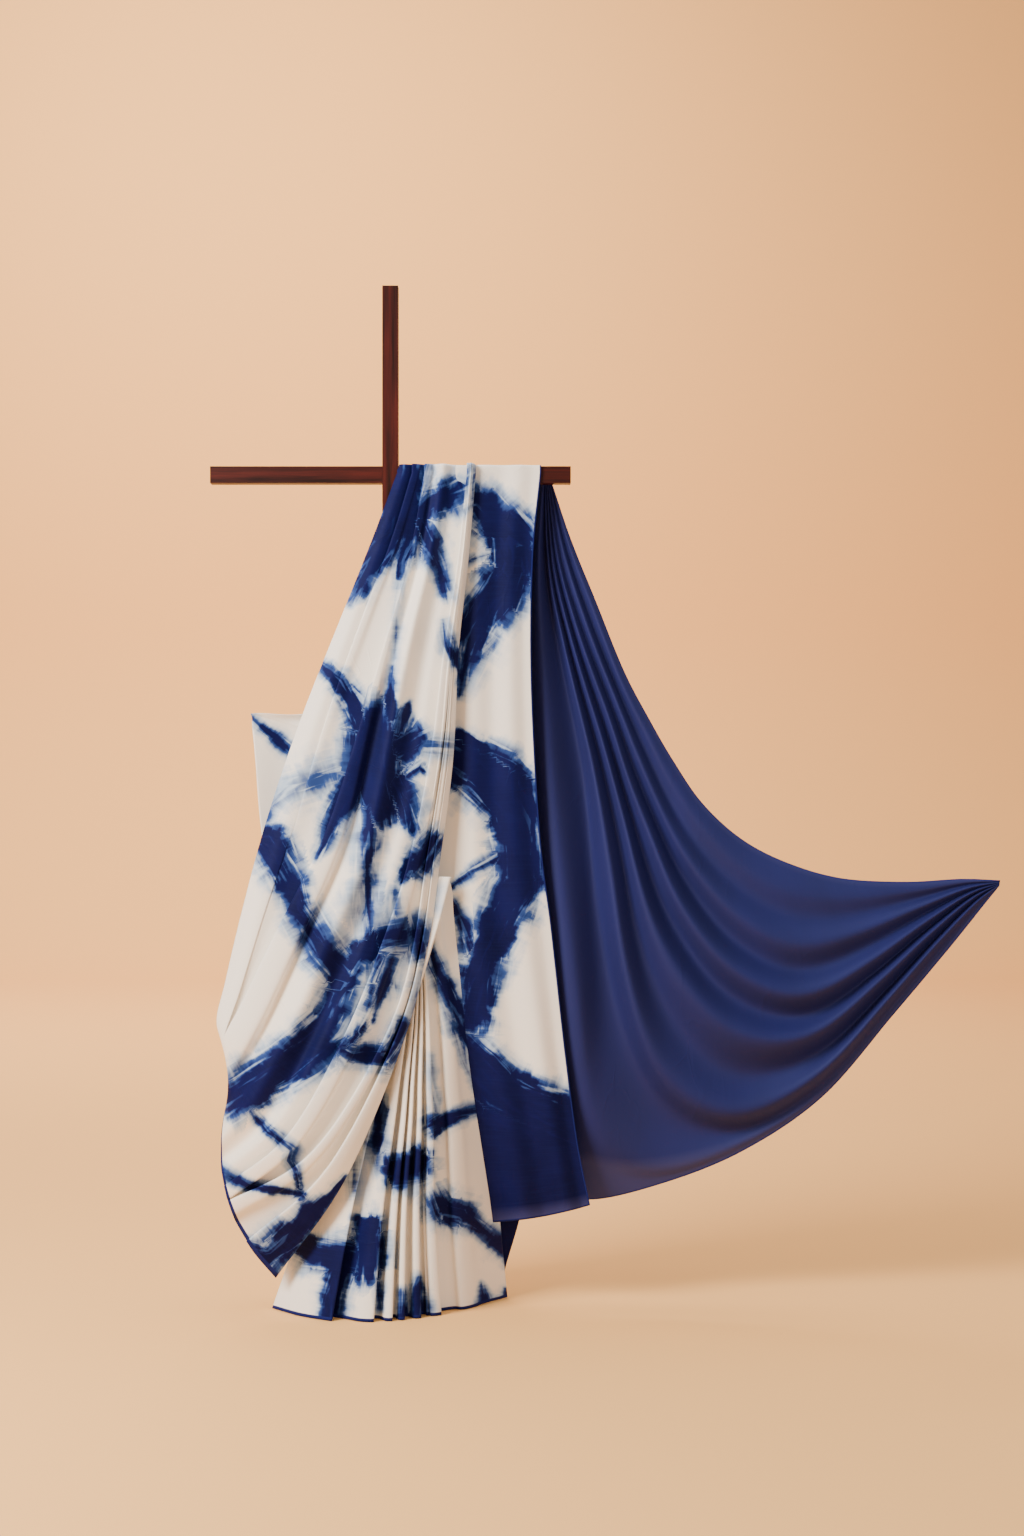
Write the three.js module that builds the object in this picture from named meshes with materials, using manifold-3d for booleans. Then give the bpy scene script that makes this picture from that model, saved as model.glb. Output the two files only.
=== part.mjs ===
// A tie-dyed saree draped over one arm of a wooden cross-shaped stand.
// Millimetres. The origin is on the floor under the middle of the post, X to the right,
// Y away from the front and Z up.
import * as THREE from 'three';
import { mergeVertices } from 'three/addons/utils/BufferGeometryUtils.js';
import Module from 'manifold-3d';

// Driving dimensions
const POST = { side: 33, height: 2135 };
const BAR = { depth: 33, height: 35, underside: 1721.5, leftEnd: -377, rightEnd: 378 };
const BASE = { width: 280, front: -45, back: 105, thickness: 22 };
const FITTED_GAP = 0.3;
const CLOTH = { thickness: 2.2, clearOfWood: 3 };
// How far from the bar's middle the innermost cloth hangs
const ON_BAR = BAR.depth / 2 + CLOTH.clearOfWood + CLOTH.thickness / 2;

// The outlines of the hanging sheets are given as they look from straight in front, at this
// place, and each point's depth then says how far the real point lies in front of (-) or behind
// (+) the middle of the post. The sheet that stands on the floor is given in real places.
const VIEWER = { x: 255, z: 1125, distance: 5000 };

const WOOD = { color: 0x4a1f16, roughness: 0.45, metalness: 0 };
const DYED_CLOTH = { color: 0xd9d4d0, roughness: 0.6, metalness: 0 };

// Each sheet of the saree has a table of levels, from its top to its hem, that gives its left
// border, its middle and its right border as [x, z, depth], and a table of fold lines. A fold
// line runs down the sheet: share is its place between the left border (0) and the right border
// (1), rise is how far it stands out to the front, each at the top, the middle and the hem.
// Where a share steps back, the cloth is folded over itself.

// The folded end that falls over the bar and sweeps down to the left hip
const SASH = {
  rows: 18,
  betweenFolds: 2,
  overBar: true,
  levels: [
    { left: [14, 1745, -25], middle: [98, 1745, -27], right: [179, 1745, -29] },
    { left: [-39, 1604, -30], middle: [72, 1587, -38], right: [163, 1562, -42] },
    { left: [-106, 1436, -34], middle: [26, 1404, -50], right: [142, 1362, -50] },
    { left: [-186, 1234, -40], middle: [-20, 1199, -66], right: [131, 1142, -58] },
    { left: [-257, 1026, -46], middle: [-64, 978, -84], right: [104, 932, -66] },
    { left: [-306, 848, -50], middle: [-117, 785, -104], right: [79, 753, -78] },
    { left: [-346, 680, -52], middle: [-178, 575, -124], right: [28, 554, -104] },
    { left: [-364, 581, -50], middle: [-253, 386, -132], right: [-96, 260, -146] },
    { left: [-316, 508, -40], middle: [-352, 260, -84], right: [-241, 54, -96] },
  ],
  folds: [
    { share: [0, 0, 0], rise: [0, -10, -14] },
    { share: [0.08, 0.07, 0.03], rise: [4, 6, 0] },
    { share: [0.2, 0.17, 0.06], rise: [-4, -6, -4] },
    { share: [0.3, 0.25, 0.09], rise: [4, 4, 0] },
    { share: [0.38, 0.36, 0.15], rise: [-2, -8, -9] },
    { share: [0.42, 0.31, 0.12], rise: [2, 7, 6] },
    { share: [0.47, 0.37, 0.18], rise: [3, 8, 8] },
    { share: [0.56, 0.46, 0.28], rise: [-5, -5, -6] },
    { share: [0.65, 0.56, 0.38], rise: [4, 6, 10] },
    { share: [0.74, 0.66, 0.46], rise: [-6, -7, -8] },
    { share: [0.8, 0.75, 0.52], rise: [3, 6, 4] },
    { share: [0.86, 0.87, 0.62], rise: [-3, -7, -7] },
    { share: [0.88, 0.82, 0.57], rise: [7, 8, 12] },
    { share: [0.92, 0.88, 0.66], rise: [10, 13, 15] },
    { share: [0.945, 0.92, 0.75], rise: [4, 3, 3] },
    { share: [0.97, 0.955, 0.86], rise: [8, 12, 13] },
    { share: [1, 1, 1], rise: [2, 0, 0] },
  ],
};

// The width that hangs straight down beside it from the bar
const FALL = {
  rows: 14,
  betweenFolds: 2,
  overBar: true,
  levels: [
    { left: [135, 1745, -ON_BAR], middle: [226, 1745, -ON_BAR], right: [316, 1745, -ON_BAR] },
    { left: [125, 1562, -22], middle: [213, 1562, -24], right: [299, 1562, -22] },
    { left: [108, 1310, -24], middle: [202, 1308, -28], right: [297, 1304, -24] },
    { left: [83, 986, -24], middle: [198, 982, -32], right: [314, 986, -26] },
    { left: [83, 785, -22], middle: [209, 781, -36], right: [339, 785, -28] },
    { left: [114, 554, -10], middle: [240, 543, -40], right: [366, 543, -30] },
    { left: [156, 344, 10], middle: [276, 340, -36], right: [392, 344, -30] },
    { left: [188, 170, 30], middle: [303, 180, -20], right: [419, 207, -28] },
  ],
  folds: [
    { share: [0, 0, 0], rise: [0, 0, 0] },
    { share: [0.16, 0.2, 0.22], rise: [-1, -5, -6] },
    { share: [0.34, 0.4, 0.42], rise: [3, 6, 8] },
    { share: [0.55, 0.58, 0.6], rise: [-1, -4, -7] },
    { share: [0.74, 0.78, 0.8], rise: [3, 6, 9] },
    { share: [0.9, 0.92, 0.93], rise: [-1, -2, -4] },
    { share: [1, 1, 1], rise: [0, 0, 0] },
  ],
};

// The waist pleats, which open like a fan and stand on the floor
const PLEATS = {
  rows: 12,
  betweenFolds: 1,
  onFloor: true,
  levels: [
    { left: [79, 895, -30], middle: [103, 897, -29], right: [127, 884, -27] },
    { left: [-2, 673, -36], middle: [73, 673, -60], right: [166, 660, -14] },
    { left: [-84, 450, -40], middle: [42, 448, -90], right: [197, 440, 6] },
    { left: [-166, 225, -44], middle: [12, 222, -120], right: [224, 220, 28] },
    { left: [-244, 0, -45], middle: [-10, 0, -150], right: [245, 0, 58] },
  ],
  // Knife pleats, left over right: where each fold edge meets the hem, and how far it overlaps
  knives: [
    { edge: 0.289, overlap: 0.08 },
    { edge: 0.467, overlap: 0.06 },
    { edge: 0.543, overlap: 0.035 },
    { edge: 0.593, overlap: 0.03 },
    { edge: 0.659, overlap: 0.035 },
    { edge: 0.74, overlap: 0.05 },
  ],
  step: 5.5,
};

// The plain end, which is held out to the right and swags from the bar to its far corner
const SWAG = {
  rows: 24,
  betweenFolds: 2,
  levels: [
    { left: [276, 1755, 21], middle: [308, 1742, 21.5], right: [339, 1722, 22] },
    { left: [276, 1394, 27], middle: [328, 1500, 24], right: [379, 1604, 26] },
    { left: [297, 995, 32], middle: [362, 1238, 20], right: [429, 1480, 28] },
    { left: [339, 575, 34], middle: [414, 952, 6], right: [490, 1329, 28] },
    { left: [381, 212, 34], middle: [462, 716, -8], right: [545, 1224, 26] },
    { left: [492, 237, 30], middle: [544, 690, -16], right: [595, 1138, 24] },
    { left: [614, 272, 24], middle: [634, 664, -20], right: [654, 1052, 22] },
    { left: [790, 356, 18], middle: [762, 664, -20], right: [734, 978, 20] },
    { left: [969, 506, 14], middle: [898, 716, -14], right: [828, 928, 18] },
    { left: [1103, 663, 12], middle: [1024, 778, -4], right: [944, 894, 16] },
    { left: [1198, 781, 14], middle: [1140, 834, 8], right: [1080, 886, 15] },
    { left: [1248, 842, 14], middle: [1223, 867, 12], right: [1198, 892, 14] },
    { left: [1278, 877, 14], middle: [1279, 883, 14], right: [1280, 889, 14] },
  ],
  folds: [
    { share: [0, 0, 0], rise: [0, 0, 0] },
    { share: [0.1, 0.1, 0.1], rise: [1, 10, 2] },
    { share: [0.24, 0.24, 0.22], rise: [-1, -12, -2] },
    { share: [0.4, 0.38, 0.32], rise: [2, 20, 3] },
    { share: [0.52, 0.52, 0.42], rise: [-1, -14, -2] },
    { share: [0.61, 0.61, 0.5], rise: [1, 11, 2] },
    { share: [0.68, 0.68, 0.58], rise: [-1, -11, -2] },
    { share: [0.75, 0.75, 0.66], rise: [1, 10, 2] },
    { share: [0.81, 0.81, 0.74], rise: [-1, -9, -2] },
    { share: [0.87, 0.87, 0.82], rise: [1, 8, 2] },
    { share: [0.94, 0.94, 0.91], rise: [-1, -6, -1] },
    { share: [1, 1, 1], rise: [0, 0, 0] },
  ],
};

// The layer behind, whose folded corner shows at the left
const BACK = {
  rows: 16,
  betweenFolds: 2,
  levels: [
    { left: [20, 1756, 21], middle: [148, 1756, 21], right: [292, 1756, 21] },
    { left: [-20, 1562, 26], middle: [128, 1562, 26], right: [288, 1562, 30] },
    { left: [-90, 1373, 30], middle: [97, 1373, 32], right: [286, 1373, 44] },
    { left: [-190, 1240, 34], middle: [56, 1210, 36], right: [286, 1184, 54] },
    { left: [-292, 1236, 34], middle: [0, 1156, 42], right: [282, 1079, 58] },
    { left: [-286, 1148, 36], middle: [2, 1048, 46], right: [278, 953, 60] },
    { left: [-272, 997, 38], middle: [6, 890, 52], right: [272, 785, 62] },
    { left: [-243, 785, 40], middle: [18, 690, 58], right: [262, 596, 62] },
    { left: [-211, 470, 42], middle: [24, 416, 64], right: [254, 365, 62] },
    { left: [-190, 75, 44], middle: [28, 72, 70], right: [247, 71, 60] },
  ],
  folds: [
    { share: [0, 0, 0], rise: [0, 0, 0] },
    { share: [0.12, 0.12, 0.1], rise: [-2, -7, -10] },
    { share: [0.26, 0.26, 0.24], rise: [2, 6, 12] },
    { share: [0.4, 0.4, 0.38], rise: [-2, -8, -14] },
    { share: [0.55, 0.54, 0.52], rise: [2, 7, 12] },
    { share: [0.7, 0.68, 0.66], rise: [-2, -8, -14] },
    { share: [0.85, 0.84, 0.83], rise: [2, 5, 10] },
    { share: [1, 1, 1], rise: [0, 0, 0] },
  ],
};

const wasm = await Module();
wasm.setup();

// The real place of a point that is seen from the front at [x, z] and lies at a depth
function place([x, z, depth]) {
  const scale = (VIEWER.distance + depth) / VIEWER.distance;
  return new THREE.Vector3(
    VIEWER.x + (x - VIEWER.x) * scale, depth, VIEWER.z + (z - VIEWER.z) * scale);
}

// The value at t, from 0 to 1, on the smooth line through a list of numbers
function smooth(values, t) {
  const last = values.length - 1;
  const at = Math.min(Math.max(t, 0), 1) * last;
  const i = Math.min(Math.floor(at), last - 1);
  const f = at - i;
  const b = values[i];
  const c = values[i + 1];
  const a = i > 0 ? values[i - 1] : 2 * b - c;
  const d = i + 2 <= last ? values[i + 2] : 2 * c - b;
  return b + 0.5 * f * (c - a + f * (2 * a - 5 * b + 4 * c - d + f * (3 * (b - c) + d - a)));
}

// The value at a share on the even bend through three numbers
function bend([first, middle, last], share) {
  return first * (1 - share) * (1 - 2 * share)
    + middle * 4 * share * (1 - share)
    + last * share * (2 * share - 1);
}

// The fold lines of a row of knife pleats, from flat at the waist to folded at the hem
function knifeFolds(knives, step) {
  const hem = [{ share: 0, rise: 0 }, { share: 0.14, rise: step }];
  knives.forEach(({ edge, overlap }, i) => {
    const next = i + 1 < knives.length ? knives[i + 1].edge : 1;
    hem.push({ share: edge - overlap * 0.5, rise: step });
    hem.push({ share: edge, rise: step });
    hem.push({ share: edge - overlap * 0.3, rise: 0 });
    hem.push({ share: edge - overlap, rise: -0.2 * step });
    hem.push({ share: edge - overlap * 0.9, rise: -1.2 * step });
    hem.push({ share: edge + 0.25 * (next - edge), rise: -0.8 * step });
  });
  hem.push({ share: 0.9, rise: 0 }, { share: 1, rise: 0 });
  return hem.map(({ share, rise }, i) => {
    const spread = i / (hem.length - 1);
    return {
      share: [spread, 0.35 * spread + 0.65 * share, share],
      rise: [0, rise * 0.75, rise],
    };
  });
}

// The rows of points of one sheet, each from its left border to its right
function sheetRows({ levels, folds, rows, betweenFolds, overBar, onFloor }) {
  const grid = [];
  for (let r = 0; r <= rows; r++) {
    const down = r / rows;
    const border = ['left', 'middle', 'right'].map((side) =>
      [0, 1, 2].map((axis) => smooth(levels.map((level) => level[side][axis]), down)));
    const line = folds.map(({ share, rise }) => {
      const s = bend(share, down);
      const seen = [0, 1, 2].map((axis) => bend(border.map((point) => point[axis]), s));
      seen[2] -= bend(rise, down);
      return onFloor ? new THREE.Vector3(seen[0], seen[2], seen[1]) : place(seen);
    });
    const curve = new THREE.CatmullRomCurve3(line, false, 'centripetal');
    const steps = (folds.length - 1) * betweenFolds;
    grid.push(Array.from({ length: steps + 1 }, (_, i) => curve.getPoint(i / steps)));
  }
  return overBar ? [...rowsOverBar(grid[0]), ...grid] : grid;
}

// The rows that carry a sheet's top edge over the bar, from behind it to its front
function rowsOverBar(front) {
  const half = BAR.depth / 2;
  const top = BAR.underside + BAR.height;
  const besidePost = POST.side / 2 + CLOTH.clearOfWood;
  const turns = [
    { across: 1, up: 0, drop: 30 }, { across: 1, up: 0.2, drop: 0 },
    { across: 0.75, up: 0.85, drop: 0 }, { across: 0.2, up: 1, drop: 0 },
    { across: -0.3, up: 1, drop: 0 }, { across: -0.8, up: 0.85, drop: 0 },
    { across: -1, up: 0.2, drop: 0 },
  ];
  return turns.map(({ across, up, drop }) => front.map((point) => {
    const out = -point.y - half;
    return new THREE.Vector3(
      Math.max(point.x, besidePost), across * half + Math.sign(across) * Math.min(1, Math.abs(across)) * out,
      top + up * out - drop);
  }));
}

// A closed solid of even thickness on the rows of points of a sheet
function thicken(grid, thickness, onFloor) {
  const rows = grid.length;
  const columns = grid[0].length;
  const positions = [];
  const normals = grid.map((row, r) => row.map((point, c) => {
    const across = grid[r][Math.min(c + 1, columns - 1)].clone().sub(grid[r][Math.max(c - 1, 0)]);
    const down = grid[Math.min(r + 1, rows - 1)][c].clone().sub(grid[Math.max(r - 1, 0)][c]);
    return across.cross(down).normalize();
  }));
  for (const side of [-0.5, 0.5]) {
    grid.forEach((row, r) => row.forEach((point, c) => {
      const at = point.clone().addScaledVector(normals[r][c], side * thickness);
      if (onFloor && r === rows - 1) at.z = 0;
      positions.push(at.x, at.y, at.z);
    }));
  }
  const index = (side, r, c) => side * rows * columns + r * columns + c;
  const faces = [];
  const quad = (a, b, c, d) => faces.push(a, b, c, a, c, d);
  for (let r = 0; r + 1 < rows; r++) {
    for (let c = 0; c + 1 < columns; c++) {
      quad(index(0, r, c), index(0, r, c + 1), index(0, r + 1, c + 1), index(0, r + 1, c));
      quad(index(1, r, c), index(1, r + 1, c), index(1, r + 1, c + 1), index(1, r, c + 1));
    }
    quad(index(0, r, 0), index(0, r + 1, 0), index(1, r + 1, 0), index(1, r, 0));
    const e = columns - 1;
    quad(index(0, r, e), index(1, r, e), index(1, r + 1, e), index(0, r + 1, e));
  }
  for (let c = 0; c + 1 < columns; c++) {
    quad(index(0, 0, c), index(1, 0, c), index(1, 0, c + 1), index(0, 0, c + 1));
    const e = rows - 1;
    quad(index(0, e, c), index(0, e, c + 1), index(1, e, c + 1), index(1, e, c));
  }
  return solid(positions, faces);
}

// A closed set of faces as a solid that can be joined, turned to face outwards
function solid(positions, faces) {
  const build = (order) => new wasm.Manifold(new wasm.Mesh({
    numProp: 3,
    vertProperties: new Float32Array(positions),
    triVerts: new Uint32Array(order),
  }));
  const made = build(faces);
  if (made.volume() > 0) return made;
  const turned = [];
  for (let i = 0; i < faces.length; i += 3) turned.push(faces[i], faces[i + 2], faces[i + 1]);
  return build(turned);
}

function geometryOf(joined) {
  const mesh = joined.getMesh();
  const geometry = new THREE.BufferGeometry();
  geometry.setAttribute('position', new THREE.BufferAttribute(mesh.vertProperties, 3));
  geometry.setIndex(new THREE.BufferAttribute(mesh.triVerts, 1));
  return mergeVertices(geometry, 1e-3);
}

function named(name, geometry, finish) {
  const mesh = new THREE.Mesh(geometry, new THREE.MeshStandardMaterial(finish));
  mesh.name = name;
  return mesh;
}

function plank(name, width, depth, height, x, y, z) {
  const mesh = named(name, new THREE.BoxGeometry(width, depth, height), WOOD);
  mesh.position.set(x, y, z);
  return mesh;
}

function stand() {
  const group = new THREE.Group();
  const postFoot = BASE.thickness + FITTED_GAP;
  const postLength = POST.height - postFoot;
  const armStart = POST.side / 2 + FITTED_GAP;
  const barMiddle = BAR.underside + BAR.height / 2;
  group.add(plank('base', BASE.width, BASE.back - BASE.front, BASE.thickness,
    0, (BASE.front + BASE.back) / 2, BASE.thickness / 2));
  group.add(plank('post', POST.side, POST.side, postLength, 0, 0, postFoot + postLength / 2));
  const arms = [
    { name: 'arm_left', from: BAR.leftEnd, to: -armStart },
    { name: 'arm_right', from: armStart, to: BAR.rightEnd },
  ];
  for (const { name, from, to } of arms) {
    group.add(plank(name, to - from, BAR.depth, BAR.height, (from + to) / 2, 0, barMiddle));
  }
  return group;
}

function saree() {
  const pleats = { ...PLEATS, folds: knifeFolds(PLEATS.knives, PLEATS.step) };
  const sheets = [SASH, FALL, pleats, SWAG, BACK];
  const joined = sheets
    .map((sheet) => thicken(sheetRows(sheet), CLOTH.thickness, sheet.onFloor))
    .reduce((whole, sheet) => whole.add(sheet));
  return named('saree', geometryOf(joined), DYED_CLOTH);
}

const part = new THREE.Group();
part.add(stand());
part.add(saree());

export default part;
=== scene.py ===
from collections import namedtuple

import bmesh
import bpy
import numpy as np
from bpy.props import FloatProperty, FloatVectorProperty, PointerProperty
from bpy.types import Operator, Panel, PropertyGroup
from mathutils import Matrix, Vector


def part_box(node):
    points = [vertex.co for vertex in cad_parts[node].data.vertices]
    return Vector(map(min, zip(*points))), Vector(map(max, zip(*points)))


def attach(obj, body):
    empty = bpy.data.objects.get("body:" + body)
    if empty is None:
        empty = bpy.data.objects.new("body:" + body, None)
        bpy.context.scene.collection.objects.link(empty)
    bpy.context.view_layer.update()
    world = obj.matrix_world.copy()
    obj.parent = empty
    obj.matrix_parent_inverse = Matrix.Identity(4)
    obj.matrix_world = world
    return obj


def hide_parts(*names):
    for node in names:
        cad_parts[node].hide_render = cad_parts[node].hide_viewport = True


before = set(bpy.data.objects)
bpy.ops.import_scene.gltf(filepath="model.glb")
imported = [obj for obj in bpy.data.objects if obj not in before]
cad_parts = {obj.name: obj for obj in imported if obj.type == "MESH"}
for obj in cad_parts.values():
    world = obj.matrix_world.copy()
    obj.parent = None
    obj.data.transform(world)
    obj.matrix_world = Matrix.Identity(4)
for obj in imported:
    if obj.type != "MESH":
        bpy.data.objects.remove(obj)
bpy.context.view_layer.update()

bl_info = {
    "name": "Draped shibori saree",
    "version": (1, 0, 0),
    "blender": (4, 5, 0),
    "location": "3D View > Sidebar > Saree",
    "description": "A bound-and-dyed saree hung over a wooden stand",
    "category": "Object",
}

# Tables are in millimetres. A sheet's outline is given as it looks from straight in front,
# from this place, and each point's depth says how far it lies behind the post (+) or before it.
VIEWER = {"x": 255, "z": 1125, "distance": 5000}
MM = 0.001
# Depths that stand for a place with no stroke or border anywhere near it.
NO_STROKE = -1e4
NO_BORDER = -100.0

# A level is one line across a sheet. A fold is one line down it: its share is its place
# between the left border (0) and the right border (1), its rise how far it stands out to the
# front, both given at even steps from the top to the hem.
Level = namedtuple("Level", "left middle right")
Fold = namedtuple("Fold", "share rise")
# A lip is a fold where one side of the cloth lies over the other: the side on top, the
# place of its edge, how far it covers the side below, and how high the edge stands.
Lip = namedtuple("Lip", "top share cover rise")
# A stroke of dye runs through its points, each with its place and its width there.
Stroke = namedtuple("Stroke", "name path")

SWAG_LEVELS = [
    Level((316, 1752, 21), (327, 1736, 22), (339, 1722, 22)),
    Level((285, 1500, 27), (334, 1570, 22), (379, 1604, 26)),
    Level((274, 1160, 30), (354, 1370, 20), (429, 1480, 28)),
    Level((286, 640, 27), (392, 1090, 12), (490, 1329, 28)),
    Level((322, 262, 26), (437, 840, 0), (545, 1224, 26)),
    Level((408, 219, 26), (497, 690, -10), (595, 1138, 24)),
    Level((555, 248, 28), (605, 652, -16), (654, 1052, 22)),
    Level((734, 318, 20), (734, 648, -20), (734, 978, 20)),
    Level((906, 434, 15), (867, 682, -16), (828, 928, 18)),
    Level((1055, 606, 12), (999, 750, -6), (944, 894, 16)),
    Level((1175, 749, 13), (1128, 817, 6), (1080, 886, 15)),
    Level((1244, 835, 13), (1221, 864, 10), (1198, 892, 14)),
    Level((1278, 877, 14), (1279, 883, 14), (1280, 889, 14)),
]
SWAG_FOLDS = [
    Fold((0, 0), (0, 0)),
    Fold((0.1, 0.1, 0.12, 0.13, 0.13, 0.08, 0.02, 0.01, 0.01, 0.01, 0.01, 0.02, 0.02),
         (0, 4, 6, 1, 0, 0, 0)),
    Fold((0.24, 0.26, 0.3, 0.31, 0.3, 0.17, 0.05, 0.03, 0.02, 0.02, 0.03, 0.04, 0.05),
         (3, 18, 28, 8, 0, 0, 0)),
    Fold((0.36, 0.4, 0.5, 0.55, 0.48, 0.4, 0.2, 0.07, 0.05, 0.05, 0.08, 0.1, 0.1),
         (0, -14, -26, -18, -4, -2, 0)),
    Fold((0.42, 0.46, 0.56, 0.62, 0.6, 0.5, 0.28, 0.13, 0.1, 0.11, 0.16, 0.2, 0.2),
         (2, 10, 18, 22, 17, 10, 1)),
    Fold((0.47, 0.5, 0.6, 0.67, 0.67, 0.6, 0.42, 0.25, 0.18, 0.17, 0.22, 0.27, 0.27),
         (-1, -7, -12, -18, -17, -9, -1)),
    Fold((0.52, 0.55, 0.64, 0.71, 0.72, 0.68, 0.54, 0.38, 0.27, 0.25, 0.3, 0.35, 0.35),
         (2, 7, 13, 20, 18, 10, 1)),
    Fold((0.57, 0.6, 0.68, 0.75, 0.76, 0.74, 0.63, 0.48, 0.35, 0.32, 0.37, 0.42, 0.42),
         (-1, -7, -12, -18, -16, -9, -1)),
    Fold((0.62, 0.65, 0.72, 0.79, 0.8, 0.8, 0.7, 0.57, 0.44, 0.4, 0.44, 0.49, 0.5),
         (2, 7, 14, 22, 19, 10, 1)),
    Fold((0.68, 0.7, 0.77, 0.83, 0.84, 0.84, 0.77, 0.66, 0.54, 0.5, 0.53, 0.57, 0.58),
         (-1, -6, -11, -16, -14, -9, -1)),
    Fold((0.76, 0.78, 0.82, 0.87, 0.88, 0.88, 0.83, 0.75, 0.65, 0.61, 0.63, 0.66, 0.67),
         (1, 5, 9, 12, 12, 8, 1)),
    Fold((0.84, 0.85, 0.88, 0.91, 0.92, 0.92, 0.89, 0.84, 0.77, 0.73, 0.74, 0.76, 0.77),
         (-2, -7, -9, -8, -8, -6, -1)),
    Fold((0.92, 0.92, 0.94, 0.95, 0.96, 0.96, 0.95, 0.92, 0.88, 0.86, 0.86, 0.87, 0.88),
         (2, 5, 6, 6, 6, 4, 1)),
    Fold((1, 1), (0, 0)),
]

FALL_LEVELS = [
    Level((135, 1745, -21), (226, 1745, -21), (316, 1745, -21)),
    Level((125, 1562, -22), (213, 1562, -24), (299, 1562, -22)),
    Level((108, 1310, -24), (202, 1308, -28), (297, 1304, -24)),
    Level((83, 986, -24), (198, 982, -32), (314, 986, -26)),
    Level((83, 785, -22), (209, 781, -36), (339, 785, -28)),
    Level((114, 554, -10), (240, 543, -40), (366, 543, -30)),
    Level((156, 344, 10), (276, 340, -36), (392, 344, -30)),
    Level((188, 170, 30), (303, 180, -20), (419, 207, -28)),
]
FALL_FOLDS = [
    Fold((0, 0, 0), (0, 0, 0)),
    Fold((0.16, 0.2, 0.22), (-1, -5, -6)),
    Fold((0.34, 0.4, 0.42), (3, 6, 8)),
    Fold((0.55, 0.58, 0.6), (-1, -4, -7)),
    Fold((0.74, 0.78, 0.8), (3, 6, 9)),
    Fold((0.9, 0.92, 0.93), (-1, -2, -4)),
    Fold((1, 1, 1), (0, 0, 0)),
]

SASH_LEVELS = [
    Level((14, 1745, -25), (98, 1745, -27), (179, 1745, -29)),
    Level((-39, 1604, -30), (72, 1587, -38), (163, 1562, -42)),
    Level((-106, 1436, -34), (26, 1404, -50), (142, 1362, -50)),
    Level((-186, 1234, -40), (-20, 1199, -66), (131, 1142, -58)),
    Level((-257, 1026, -46), (-64, 978, -84), (104, 932, -66)),
    Level((-306, 848, -50), (-117, 785, -104), (79, 753, -78)),
    Level((-346, 680, -52), (-178, 575, -124), (28, 554, -104)),
    Level((-364, 581, -50), (-253, 386, -132), (-96, 260, -146)),
    Level((-316, 508, -40), (-352, 260, -84), (-241, 54, -96)),
]
SASH_FOLDS = [
    Fold((0, 0), (0, -4, -6, -8, -8)),
    Fold((0.09, 0.09, 0.09, 0.07, 0.03), (5, 4, 5, 3, 0)),
    Lip("right", (0.18, 0.15, 0.14, 0.09, 0.05), (0.06, 0.03, 0.004, 0.004, 0.004),
        (8, 5, 0, -2, -2)),
    Fold((0.28, 0.24, 0.23, 0.12, 0.07), (4, -3, -10, -9, -6)),
    Lip("right", (0.34, 0.38, 0.31, 0.13, 0.01), (0.06, 0.02, 0.07, 0.1, 0.06),
        (8, 5, 13, 15, 9)),
    Fold((0.46, 0.47, 0.43, 0.29, 0.2), (2, -8, -9, -9, -8)),
    Fold((0.57, 0.56, 0.55, 0.42, 0.31), (8, 12, 13, 14, 13)),
    Fold((0.7, 0.69, 0.66, 0.54, 0.42), (-5, -12, -13, -14, -13)),
    Fold((0.8, 0.78, 0.74, 0.61, 0.47), (-9, -10, -6, 3, 3)),
    Lip("right", (0.886, 0.865, 0.81, 0.7, 0.53), (0.06, 0.06, 0.05, 0.06, 0.05),
        (14, 16, 16, 16, 14)),
    Fold((0.93, 0.915, 0.88, 0.8, 0.57), (17, 16, 10, -6, -8)),
    Lip("right", (0.955, 0.945, 0.915, 0.9, 0.6), (0.002, 0.002, 0.012, 0.03, 0.05),
        (14, 13, 9, 15, 15)),
    Fold((0.965, 0.96, 0.945, 0.93, 0.7), (10, 10, 5, -4, -6)),
    Lip("right", (0.975, 0.972, 0.96, 0.955, 0.8), (0.002, 0.002, 0.006, 0.02, 0.05),
        (6, 7, 5, 12, 14)),
    Fold((1, 1), (-8, -7, -4, -2, -4)),
]

PLEAT_LEVELS = [
    Level((79, 895, -30), (103, 897, -29), (127, 884, -27)),
    Level((-2, 673, -36), (73, 673, -60), (166, 660, -14)),
    Level((-84, 450, -40), (42, 448, -90), (197, 440, 6)),
    Level((-166, 225, -44), (12, 222, -120), (224, 220, 28)),
    Level((-244, 1, -45), (-10, 1, -150), (245, 1, 58)),
]
# Knife pleats, left over right: where each fold edge meets the hem and how far it overlaps.
# They fan out of the waist, so a pleat's share there is only a part of its share at the hem.
Knife = namedtuple("Knife", "edge overlap")
KNIVES = [
    Knife(0.289, 0.1), Knife(0.467, 0.08), Knife(0.543, 0.04),
    Knife(0.593, 0.035), Knife(0.659, 0.04), Knife(0.74, 0.06),
]
PLEAT_FAN = (0.13, 0.72, 0.9, 0.957, 1)
PLEAT_RISE = (0.15, 0.8, 1, 1, 1)
PLEAT_STEP = 15

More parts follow.
